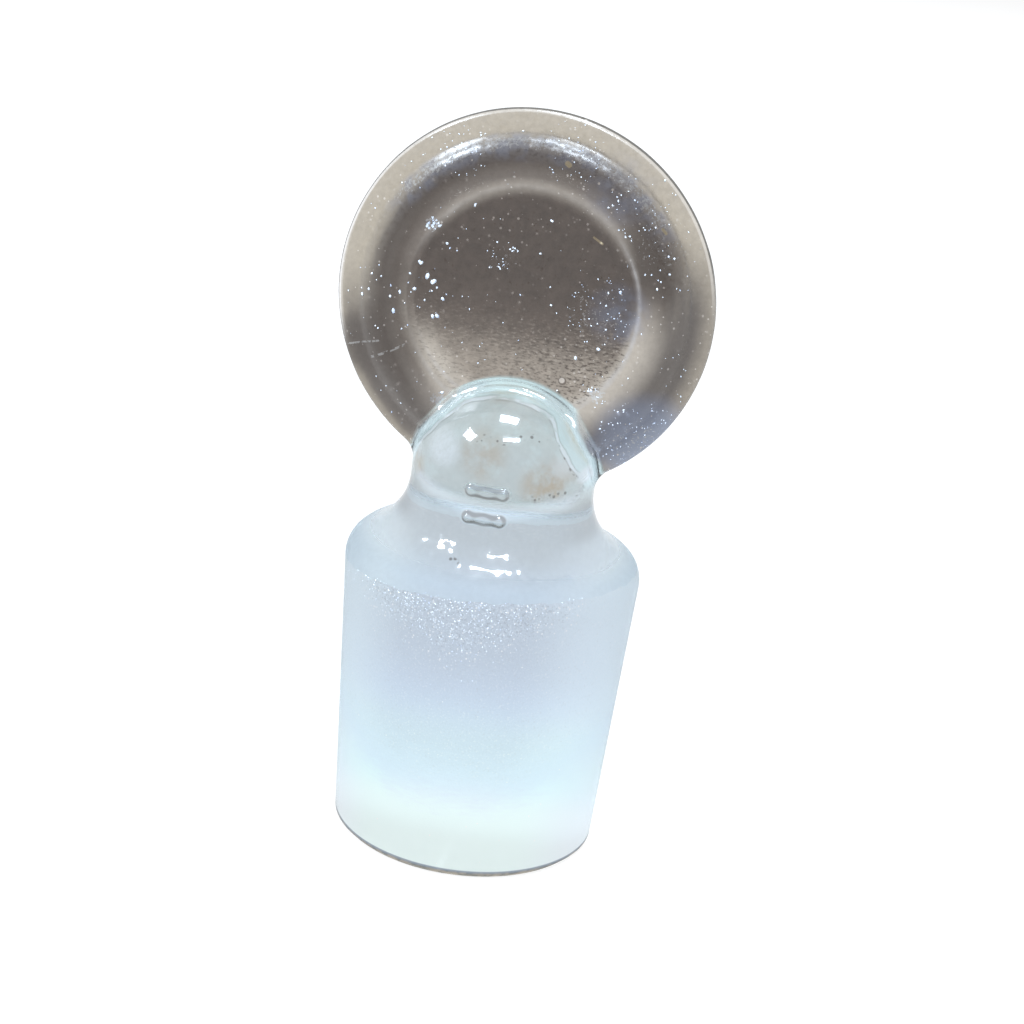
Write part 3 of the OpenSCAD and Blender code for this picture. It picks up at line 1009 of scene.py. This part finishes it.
def clear_glass(name, form, look, groups, gloss_rough):
    """Pressed glass of the shoulder, neck and head, its colour the painted light and shade of head and stem.
    gloss_rough is the roughness of its outer gloss, higher on the head, whose surface is scuffed."""
    material, shader, nodes = new_material(name)
    place = millimetres(nodes)
    x, y, z = nodes.split(place)
    over_dome = nodes.most(nodes.minus(z, mm(form.dome_z)), 0.0)
    from_neck = nodes.vector("LENGTH", nodes.join(x, y, over_dome))
    waist, ground = mm(form.s.waist_r), mm(form.s.plug_h)
    below = nodes.span(z, mm(form.waist_z), mm(form.waist_z) - 0.3)
    head = head_marks(nodes, head_paint(nodes, place, form, look), place, groups, look)
    from_arch = nodes.vector("DISTANCE", nodes.join(x, 0.0, z), (0.4, 0, mm(form.dome_z) + 0.7))
    over_waist = nodes.join(x, 0.0, nodes.minus(z, mm(form.waist_z)))
    from_arch = nodes.plus(from_arch, arch_draw(nodes, over_waist, 0.7, 0.75))
    in_front = nodes.front(y)
    # Painted light: the pale fillet round the neck, at the front arch and at the waist
    fillet = nodes.times(
        nodes.span(from_arch, 7.75, 7.4), nodes.span(from_neck, waist + 1.3, waist + 1.0), in_front
    )
    fillet = nodes.most(fillet, nodes.span(from_neck, waist + 0.4, waist + 0.15), below)
    paint = nodes.mix(fillet, head, look.join)
    at_bars = nodes.times(nodes.span(over_dome, 1.6, 1.2), nodes.span(from_neck, waist + 0.5, waist + 0.4))
    on_stem = nodes.most(nodes.span(from_neck, waist + 0.2, waist + 0.05), at_bars, below)
    paint = nodes.lay(paint, stem_paint(nodes, place, form, look, groups), on_stem)
    nodes.put(shader.inputs["Base Color"], paint)
    shader.inputs["IOR"].default_value = CLEAR_IOR
    rough = nodes.minus(nodes.span(from_neck, waist, waist + 1.0, 0.14, 0.3), nodes.times(below, 0.08))
    rough = nodes.plus(rough, nodes.span(z, ground + 2.6, ground + 1.6, 0.0, 0.35))
    nodes.put(shader.inputs["Roughness"], rough)
    rho = nodes.vector("DISTANCE", nodes.join(x, 0.0, z), (0, 0, mm(HEAD_Z)))
    on_crest = nodes.times(nodes.span(rho, 10.8, 11.8), nodes.span(z, mm(HEAD_Z) + 1.0, mm(HEAD_Z) + 5.0))
    flakes = nodes.span(nodes.noise(place, 3.4, 4, 0.7), 0.4, 0.5, 0.15, 1.0)
    keep = nodes.most(flakes, nodes.minus(1.0, on_crest))
    keep = nodes.times(keep, nodes.span(nodes.noise(place, 5.0, 3, 0.65), 0.3, 0.38))
    off_ground = nodes.span(z, ground + 2.0, ground + 2.5)
    outside = nodes.minus(1.0, nodes.add("ShaderNodeNewGeometry").outputs["Backfacing"])
    facing = nodes.span(nodes.add("ShaderNodeLayerWeight", {"Blend": 0.5}).outputs["Facing"], 0.75, 0.4)
    nodes.put(shader.inputs["Coat Weight"], nodes.times(keep, off_ground, outside, facing))
    shader.inputs["Coat Roughness"].default_value = gloss_rough
    shader.inputs["Coat IOR"].default_value = GLOSS_IOR
    ripple = nodes.noise(place, 0.6, 3, 0.55)
    nodes.put(shader.inputs["Normal"], nodes.bump(ripple, 0.35, 0.1 * MM))
    return material


def ground_glass(form, look, groups):
    """Finely ground, frosted glass of the plug, in painted light: duller above, bluish lower down, a painted
    glow near the lower end that reaches higher at the sides, painted sparkle under the ground line, painted
    shade at the foot."""
    specks, scuffs = groups
    material, shader, nodes = new_material("ground_glass")
    place = millimetres(nodes)
    x, y, z = nodes.split(place)
    aside = nodes.math("ABSOLUTE", x)
    ripple = nodes.noise(nodes.vector("MULTIPLY", place, (0.5, 0.5, 1.6)), 1.1, 3, 0.6)
    wave = nodes.times(nodes.minus(ripple, 0.5), 2.0)
    wisps = nodes.noise(nodes.vector("MULTIPLY", place, (0.8, 0.8, 3.0)), 1.4, 3, 0.6)
    wave = nodes.plus(wave, nodes.times(nodes.minus(wisps, 0.5), 1.6))
    cloud = nodes.times(nodes.minus(nodes.noise(place, 0.25, 2), 0.5), 3.0)
    height = nodes.plus(z, cloud)
    # Painted light of the ground face: duller above, bluish lower down, a painted glow below and up the
    # flanks
    paint = nodes.mix(nodes.span(height, 14.0, 21.0), look.plug, look.plug_top)
    paint = nodes.lay(paint, look.side, nodes.span(aside, 4.0, 10.5), 0.9)
    over = nodes.minus(nodes.plus(z, wave), nodes.span(aside, 3.5, 11.5, 0.0, 2.4))
    paint = nodes.lay(paint, look.plug_blue, nodes.span(over, 12.4, 7.2), 0.9)
    paint = nodes.lay(paint, look.plug_low, nodes.span(over, 8.4, 5.0))
    flank = nodes.times(nodes.span(aside, 5.5, 10.5), nodes.span(over, 10.0, 7.0), 0.75)
    paint = nodes.lay(paint, look.plug_side, flank)
    grain = nodes.noise(place, 6.0, 4, 0.7)
    clear = nodes.span(over, 6.0, 11.0)
    paint = nodes.lay(paint, WHITE, nodes.span(grain, 0.54, 0.72, 0.0, 0.5), clear)
    paint = nodes.lay(paint, look.stain_and_refraction, nodes.span(grain, 0.46, 0.3, 0.0, 0.22), clear)
    # Painted sparkle: pale glints and white points under the ground line over dull dark grains, and a few
    # white points all over
    slant = nodes.times(nodes.math("ABSOLUTE", nodes.plus(x, 0.8)), 0.4)
    depth = nodes.plus(slant, nodes.minus(mm(form.s.plug_h), z))
    sparkle_zone = nodes.times(nodes.span(depth, 6.4, 2.6), nodes.front(y), nodes.span(aside, 10.5, 7.0))
    sparkle = use_group(nodes, scuffs, place=place, scale=5.0, density=nodes.times(sparkle_zone, 0.55))
    dull = use_group(
        nodes,
        scuffs,
        place=nodes.vector("ADD", place, (3, 8, 6)),
        scale=4.6,
        density=nodes.times(sparkle_zone, 0.6),
    )
    points = use_group(nodes, specks, place=place, scale=3.0, size=0.1)
    paint = nodes.lay(paint, look.pit_and_shade, dull, 0.35)
    paint = nodes.lay(paint, look.fleck_and_glint, sparkle, 0.9)
    few = use_group(nodes, specks, place=nodes.vector("ADD", place, (7, 3, 1)), scale=1.1, size=0.07)
    paint = nodes.lay(paint, WHITE, nodes.most(nodes.times(points, nodes.span(sparkle_zone, 0.1, 0.6)), few))
    # Painted shade along the bevelled foot, mottled and bluish at its top
    bevel = mm(form.s.bevel)
    near_front = nodes.span(y, 4.0, -2.0)
    mottled_shade = nodes.span(nodes.noise(place, 1.5, 2), 0.4, 0.6)
    foot = nodes.mix(mottled_shade, look.foot, middle(look.foot, look.stain_and_refraction, 0.4))
    foot = nodes.mix(nodes.span(z, bevel - 0.05, bevel + 0.28), foot, look.foot_top)
    paint = nodes.lay(paint, foot, nodes.span(z, bevel + 0.34, bevel + 0.22), near_front)
    nodes.put(shader.inputs["Base Color"], paint)
    shader.inputs["IOR"].default_value = GROUND_IOR
    shader.inputs["Roughness"].default_value = GROUND_ROUGH
    nodes.put(shader.inputs["Normal"], nodes.bump(grain, 0.3, 0.05 * MM))
    return material


def dust_and_sparkle_material(look):
    """Pale matt grains of dust and of painted sparkle, some duller than others."""
    material, shader, nodes = new_material("dust", 0)
    place = millimetres(nodes)
    dull = nodes.span(nodes.noise(place, 0.9, 3), 0.45, 0.7, 0.0, 0.5)
    nodes.put(shader.inputs["Base Color"], nodes.mix(dull, look.dust, look.haze_and_sheen))
    shader.inputs["Roughness"].default_value = DUST_ROUGH
    nodes.put(shader.inputs["Normal"], nodes.bump(nodes.noise(place, 12.0, 2), 0.4, 0.02 * MM))
    return material


# Stage


def white_for_seeing(nodes):
    """1 for rays that look, reflect or pass through glass, and 0 for the rays that light matt surfaces."""
    ray = nodes.add("ShaderNodeLightPath").outputs
    seen = nodes.most(ray["Is Camera Ray"], ray["Is Glossy Ray"])
    return nodes.most(seen, ray["Is Transmission Ray"])


def make_world(stage):
    """A plain room: white where it is seen, in glass too, and dimmer where it lights matt surfaces."""
    world = bpy.data.worlds.new("room")
    world.use_nodes = True
    nodes = Nodes(world.node_tree)
    background = world.node_tree.nodes["Background"]
    background.inputs["Color"].default_value = (1, 1, 1, 1)
    seen = nodes.times(white_for_seeing(nodes), stage.seen_glow)
    nodes.put(background.inputs["Strength"], nodes.most(seen, stage.room))
    bpy.context.scene.world = world


def make_floor(stage):
    """A large pale floor at the stopper's foot. It looks white, and keeps a soft share of the shadow."""
    half = stage.floor_size / 2
    mesh = bpy.data.meshes.new("floor")
    corners = [(-half, -half, 0), (half, -half, 0), (half, half, 0), (-half, half, 0)]
    mesh.from_pydata(corners, [], [(0, 1, 2, 3)])
    floor = bpy.data.objects.new("floor", mesh)
    bpy.context.scene.collection.objects.link(floor)
    material = bpy.data.materials.new("floor_white")
    material.use_nodes = True
    nodes = Nodes(material.node_tree)
    matt = material.node_tree.nodes["Principled BSDF"]
    matt.inputs["Base Color"].default_value = (0.9, 0.9, 0.9, 1)
    matt.inputs["Roughness"].default_value = 1
    matt.inputs["Specular IOR Level"].default_value = 0
    glow = nodes.add("ShaderNodeEmission", {"Color": (1, 1, 1), "Strength": stage.seen_glow})
    ray = nodes.add("ShaderNodeLightPath").outputs
    through = nodes.most(ray["Is Glossy Ray"], ray["Is Transmission Ray"])
    share = nodes.most(nodes.times(ray["Is Camera Ray"], stage.floor_glow), through)
    blend = nodes.add("ShaderNodeMixShader", {0: share, 1: matt.outputs[0], 2: glow.outputs[0]})
    nodes.put(material.node_tree.nodes["Material Output"].inputs["Surface"], blend.outputs[0])
    mesh.materials.append(material)


def make_lamp(stage, name, azimuth, elevation, wide, high, distance=5):
    """A rectangular lamp that faces the stopper. azimuth turns from the front towards +X, and wide and
    high are the angles that it fills, in degrees."""
    light = bpy.data.lights.new(name, "AREA")
    light.shape = "RECTANGLE"
    light.size = 2 * distance * np.tan(radians(wide / 2))
    light.size_y = 2 * distance * np.tan(radians(high / 2))
    light.energy = stage.lamp_glow * pi * light.size * light.size_y
    light.color = stage.daylight
    lamp = bpy.data.objects.new(name, light)
    turn, rise = radians(azimuth), radians(elevation)
    toward = Vector((sin(turn) * cos(rise), -cos(turn) * cos(rise), sin(rise)))
    centre = Vector((0, 0, HEAD_Z * LAMP_AIM))
    lamp.location = centre + toward * distance
    lamp.rotation_euler = toward.to_track_quat("Z", "Y").to_euler()
    bpy.context.scene.collection.objects.link(lamp)


def make_camera(stage):
    """The camera, at its distance and angles from the point it looks at, rolled about its own axis."""
    data = bpy.data.cameras.new("camera")
    data.sensor_width = 36
    data.lens = stage.lens
    data.clip_start = 0.01
    data.clip_end = 200
    camera = bpy.data.objects.new("camera", data)
    turn, rise = radians(stage.azimuth), radians(stage.elevation)
    toward = Vector((sin(turn) * cos(rise), -cos(turn) * cos(rise), sin(rise)))
    camera.location = Vector(stage.aim) + toward * stage.distance
    level = toward.to_track_quat("Z", "Y").to_matrix()
    camera.rotation_euler = (level @ Matrix.Rotation(radians(stage.roll), 3, "Z")).to_euler()
    bpy.context.scene.collection.objects.link(camera)
    bpy.context.scene.camera = camera


# Operators


class STOPPER_OT_glass(bpy.types.Operator):
    """Make the pressed and ground glass body"""

    bl_idname = "stopper.glass"
    bl_label = "Glass Body"

    def execute(self, context):
        shape, look = context.scene.stopper_shape, context.scene.stopper_look
        form = Form(shape)
        groups = make_groups()
        polished = clear_glass("polished_glass", form, look, groups, POLISHED_GLOSS)
        worn_and_glinting = clear_glass("worn_glass", form, look, groups, WORN_GLOSS)
        body = body_mesh(form, [polished, ground_glass(form, look, groups), worn_and_glinting])
        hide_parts(NODE)
        return {"FINISHED"}


class STOPPER_OT_dust_and_sparkle(bpy.types.Operator):
    """Make the grains stuck to the front: dust, and pale grains of painted sparkle"""

    bl_idname = "stopper.dust"
    bl_label = "Surface Dust"

    def execute(self, context):
        dust_and_sparkle_mesh(Form(context.scene.stopper_shape), dust_and_sparkle_material(context.scene.stopper_look))
        return {"FINISHED"}


class STOPPER_OT_stage(bpy.types.Operator):
    """Make the floor, the room, the lamps and the camera"""

    bl_idname = "stopper.stage"
    bl_label = "Stage"

    def execute(self, context):
        stage = context.scene.stopper_stage
        make_world(stage)
        make_floor(stage)
        for lamp in LAMPS:
            make_lamp(stage, *lamp)
        make_camera(stage)
        context.scene.view_settings.view_transform = "Standard"
        return {"FINISHED"}


class STOPPER_PT_panel(bpy.types.Panel):
    """Sizes, colours and steps of the stopper"""

    bl_idname = "STOPPER_PT_panel"
    bl_label = "Glass Stopper"
    bl_space_type = "VIEW_3D"
    bl_region_type = "UI"
    bl_category = "Stopper"

    def draw(self, context):
        layout = self.layout
        for operator in OPERATORS:
            layout.operator(operator.bl_idname)
        for group in (context.scene.stopper_shape, context.scene.stopper_look, context.scene.stopper_stage):
            box = layout.box()
            for name in group.__annotations__:
                box.prop(group, name)


GROUPS = {"stopper_shape": StopperShape, "stopper_look": StopperLook, "stopper_stage": StopperStage}
OPERATORS = (STOPPER_OT_glass, STOPPER_OT_dust_and_sparkle, STOPPER_OT_stage)


def register():
    for cls in (*GROUPS.values(), *OPERATORS, STOPPER_PT_panel):
        bpy.utils.register_class(cls)
    for name, group in GROUPS.items():
        setattr(bpy.types.Scene, name, bpy.props.PointerProperty(type=group))


def unregister():
    for name in GROUPS:
        delattr(bpy.types.Scene, name)
    for cls in reversed((*GROUPS.values(), *OPERATORS, STOPPER_PT_panel)):
        bpy.utils.unregister_class(cls)


def main():
    register()
    bpy.ops.stopper.glass()
    bpy.ops.stopper.dust()
    bpy.ops.stopper.stage()


if __name__ == "__main__":
    main()
